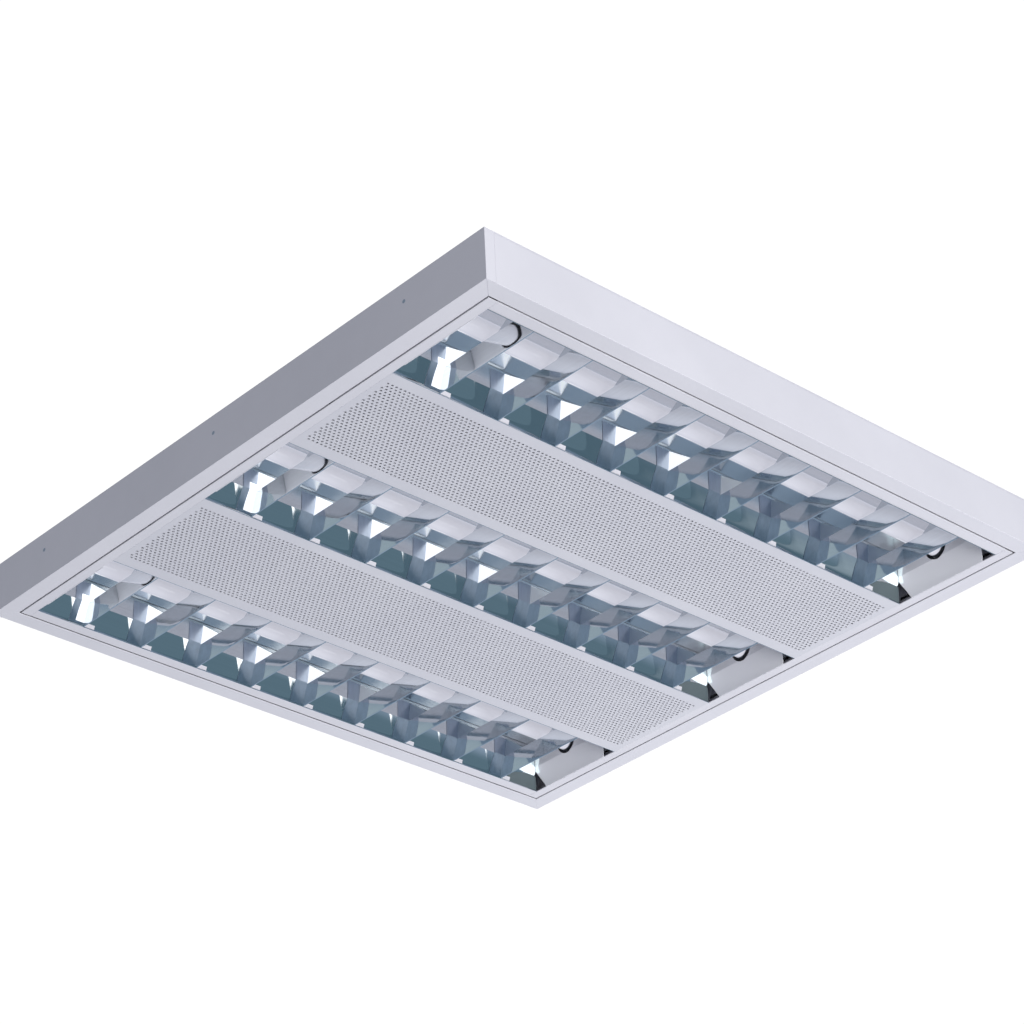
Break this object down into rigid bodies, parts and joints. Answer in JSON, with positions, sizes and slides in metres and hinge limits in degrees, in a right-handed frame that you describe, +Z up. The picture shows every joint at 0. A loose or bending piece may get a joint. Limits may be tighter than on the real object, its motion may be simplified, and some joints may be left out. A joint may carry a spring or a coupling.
{
  "type": "surface mount fluorescent fixture",
  "caption": "Square white surface mount ceiling light with mirror louvre troughs over slim tube lamps, perforated infill panels and a hinged louvre door.",
  "frame": {"origin": "centre of the back face that meets the ceiling", "axes": "+X along the lamps from the hinge side to the catch side, +Y across the lamps, +Z up into the ceiling"},
  "size_m": [0.6, 0.6, 0.044],
  "materials": {
    "white_paint": "white powder coat, satin",
    "mirror_aluminium": "bright anodised specular aluminium sheet",
    "lamp_glass": "phosphor coated white glass, gloss",
    "lamp_cap": "satin",
    "pin_brass": "plain",
    "holder_plastic": "moulded, low gloss",
    "zinc_steel": "zinc plated",
    "spring_steel": "bright spring strip",
    "gear_case": "pre-coated sheet",
    "terminal_plastic": "moulded",
    "clamp_plastic": "moulded",
    "grommet_rubber": "matt",
    "wire_insulation": "PVC"
  },
  "bodies": {
    "housing": {"back_plate": "white_paint", "side_wall_left": "white_paint", "side_wall_right": "white_paint", "side_wall_near": "white_paint", "side_wall_far": "white_paint", "holder_channel_left": "zinc_steel", "holder_channel_right": "zinc_steel", "wall_rivets": "zinc_steel", "lampholder_screws": "zinc_steel", "ballast_case": "gear_case", "ballast_connectors": "terminal_plastic", "terminal_block": "terminal_plastic", "terminal_screws": "zinc_steel", "earth_stud": "zinc_steel", "cable_grommet": "grommet_rubber", "cable_clamp": "clamp_plastic", "lamp_wiring": "wire_insulation", "supply_wiring": "wire_insulation", "hinge_brackets": "zinc_steel", "catch_clips": "spring_steel", "pan_screws": "zinc_steel", "lampholder_1_left": "holder_plastic", "lampholder_1_right": "holder_plastic", "top_reflector_1": "mirror_aluminium", "lampholder_2_left": "holder_plastic", "lampholder_2_right": "holder_plastic", "top_reflector_2": "mirror_aluminium", "lampholder_3_left": "holder_plastic", "lampholder_3_right": "holder_plastic", "top_reflector_3": "mirror_aluminium"},
    "louvre_door": {"door_rail_left": "white_paint", "door_rail_right": "white_paint", "door_rail_near": "white_paint", "door_rail_far": "white_paint", "hinge_pins": "zinc_steel", "catch_studs": "zinc_steel", "perforated_panel_1": "white_paint", "perforated_panel_2": "white_paint", "trough_end_plates": "white_paint", "trough_1_reflector_near": "mirror_aluminium", "trough_1_reflector_far": "mirror_aluminium", "trough_1_cross_blades": "mirror_aluminium", "trough_2_reflector_near": "mirror_aluminium", "trough_2_reflector_far": "mirror_aluminium", "trough_2_cross_blades": "mirror_aluminium", "trough_3_reflector_near": "mirror_aluminium", "trough_3_reflector_far": "mirror_aluminium", "trough_3_cross_blades": "mirror_aluminium"},
    "lamp_1": {"lamp_1_tube": "lamp_glass", "lamp_1_end_caps": "lamp_cap", "lamp_1_pins": "pin_brass", "lamp_1_rotors": "holder_plastic"},
    "lamp_2": {"lamp_2_tube": "lamp_glass", "lamp_2_end_caps": "lamp_cap", "lamp_2_pins": "pin_brass", "lamp_2_rotors": "holder_plastic"},
    "lamp_3": {"lamp_3_tube": "lamp_glass", "lamp_3_end_caps": "lamp_cap", "lamp_3_pins": "pin_brass", "lamp_3_rotors": "holder_plastic"}
  },
  "joints": [
    {"name": "door_hinge", "type": "hinge", "parent": "housing", "child": "louvre_door", "pos_m": [-0.28, 0, -0.04], "axis": [0, 1, 0], "range_deg": [0, 90]},
    {"name": "lamp_1_twist", "type": "hinge", "parent": "housing", "child": "lamp_1", "pos_m": [0, -0.2214, -0.016], "axis": [1, 0, 0], "range_deg": [0, 90]},
    {"name": "lamp_2_twist", "type": "hinge", "parent": "housing", "child": "lamp_2", "pos_m": [0, 0, -0.016], "axis": [1, 0, 0], "range_deg": [0, 90]},
    {"name": "lamp_3_twist", "type": "hinge", "parent": "housing", "child": "lamp_3", "pos_m": [0, 0.2214, -0.016], "axis": [1, 0, 0], "range_deg": [0, 90]}
  ]
}
